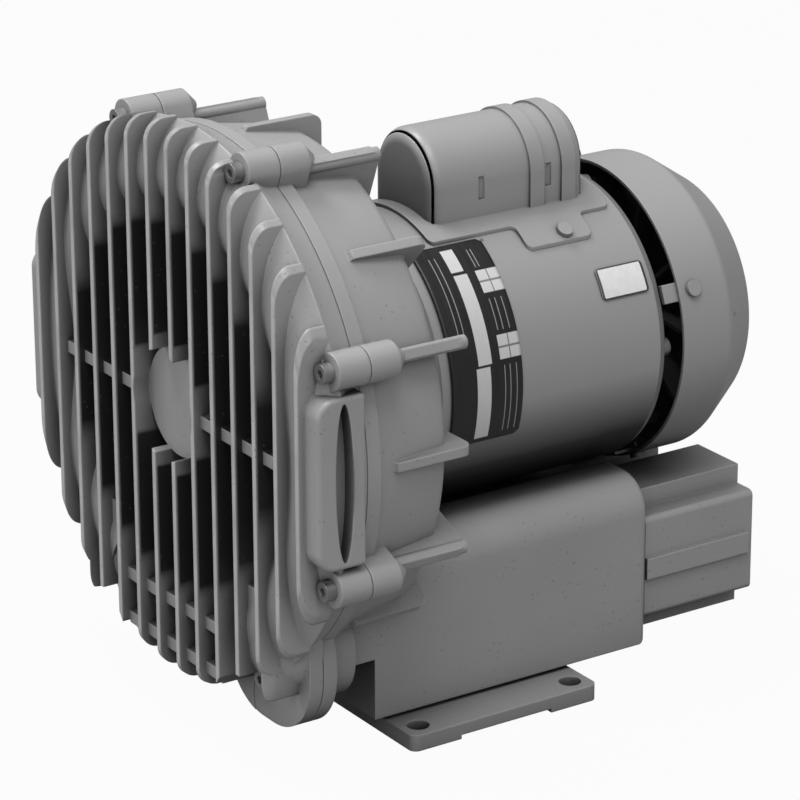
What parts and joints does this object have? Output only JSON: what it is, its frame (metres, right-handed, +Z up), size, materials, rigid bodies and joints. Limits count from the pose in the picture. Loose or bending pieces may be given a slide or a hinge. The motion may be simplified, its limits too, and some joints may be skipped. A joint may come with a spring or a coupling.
{
  "type": "side channel blower",
  "caption": "Foot-mounted side channel blower: finned round casing with chevron-bladed impeller, muffler boxes with threaded ports, and a fan-cooled capacitor-start motor.",
  "frame": {"origin": "centre of the four foot holes, on the underside of the foot", "axes": "+X to the right seen from the finned cover, +Y along the shaft from the cover to the motor, +Z up"},
  "size_m": [0.261, 0.294, 0.2908],
  "materials": {
    "painted_casting": "satin machinery paint over cast aluminium",
    "painted_steel": "satin machinery paint over sheet steel",
    "bell_casting": "dark painted cast aluminium",
    "zinc_steel": "zinc plated",
    "gasket_fibre": "compressed fibre sheet",
    "foam": "open-cell foam",
    "ground_steel": "ground",
    "bearing_steel": "polished",
    "rubber": "matte",
    "bare_aluminium": "die cast",
    "black_plastic": "moulded",
    "electrical_steel": "laminated",
    "copper": "enamelled wire",
    "phenolic": "moulded",
    "plate_black": "printed black foil with bare fields",
    "label_white": "blank adhesive label"
  },
  "bodies": {
    "root": {"front_cover": "painted_casting", "cover_gasket": "gasket_fibre", "cover_screws": "zinc_steel", "rear_housing": "painted_casting", "right_muffler_liner": "foam", "left_muffler_liner": "foam", "right_muffler_extension": "painted_casting", "left_muffler_extension": "painted_casting", "extension_gaskets": "gasket_fibre", "extension_screws": "zinc_steel", "shaft_seal": "rubber", "front_bearing_outer_race": "bearing_steel", "rear_bearing_outer_race": "bearing_steel", "front_end_bell": "bell_casting", "motor_shell": "painted_steel", "stator_core": "electrical_steel", "stator_winding": "copper", "rear_end_bell": "bell_casting", "through_bolts": "zinc_steel", "motor_mount_screws": "zinc_steel", "preload_washer": "bearing_steel", "start_switch": "phenolic", "fan_cowl": "painted_steel", "cowl_brackets": "zinc_steel", "cowl_screws": "zinc_steel", "capacitor": "black_plastic", "capacitor_cover": "painted_steel", "capacitor_cover_screws": "zinc_steel", "data_plate": "plate_black", "small_label": "label_white"},
    "rotor": {"shaft": "ground_steel", "impeller": "bare_aluminium", "impeller_key": "ground_steel", "impeller_washer": "ground_steel", "impeller_nut": "ground_steel", "front_bearing_inner_race": "bearing_steel", "rear_bearing_inner_race": "bearing_steel", "rotor_core": "electrical_steel", "switch_base": "zinc_steel", "external_fan": "black_plastic", "fan_clip": "zinc_steel"},
    "switch_collar_body": {"switch_collar": "phenolic"},
    "upper_weight": {"switch_weight_upper": "zinc_steel"},
    "lower_weight": {"switch_weight_lower": "zinc_steel"},
    "front_balls": {"front_bearing_balls": "bearing_steel"},
    "rear_balls": {"rear_bearing_balls": "bearing_steel"}
  },
  "joints": [
    {"name": "rotor_spin", "type": "hinge", "parent": "root", "child": "rotor", "pos_m": [0, 0, 0.158], "axis": [0, 1, 0], "continuous": true},
    {"name": "collar_slide", "type": "slide", "parent": "rotor", "child": "switch_collar_body", "axis": [0, -1, 0], "range_m": [0, 0.0018], "stiffness_N_per_m": 1500},
    {"name": "upper_weight_swing", "type": "hinge", "parent": "rotor", "child": "upper_weight", "pos_m": [0, 0.095, 0.18], "axis": [-1, 0, 0], "range_deg": [0, 16]},
    {"name": "lower_weight_swing", "type": "hinge", "parent": "rotor", "child": "lower_weight", "pos_m": [0, 0.095, 0.136], "axis": [1, 0, 0], "range_deg": [0, 16]},
    {"name": "front_balls_roll", "type": "hinge", "parent": "root", "child": "front_balls", "pos_m": [0, -0.028, 0.158], "axis": [0, 1, 0], "continuous": true},
    {"name": "rear_balls_roll", "type": "hinge", "parent": "root", "child": "rear_balls", "pos_m": [0, 0.119, 0.158], "axis": [0, 1, 0], "continuous": true}
  ],
  "couplings": [
    {"joint": "upper_weight_swing", "follows": "collar_slide", "rad_per_m": 142.86},
    {"joint": "lower_weight_swing", "follows": "collar_slide", "rad_per_m": 142.86},
    {"joint": "front_balls_roll", "follows": "rotor_spin", "ratio": 0.3807},
    {"joint": "rear_balls_roll", "follows": "rotor_spin", "ratio": 0.3807}
  ]
}
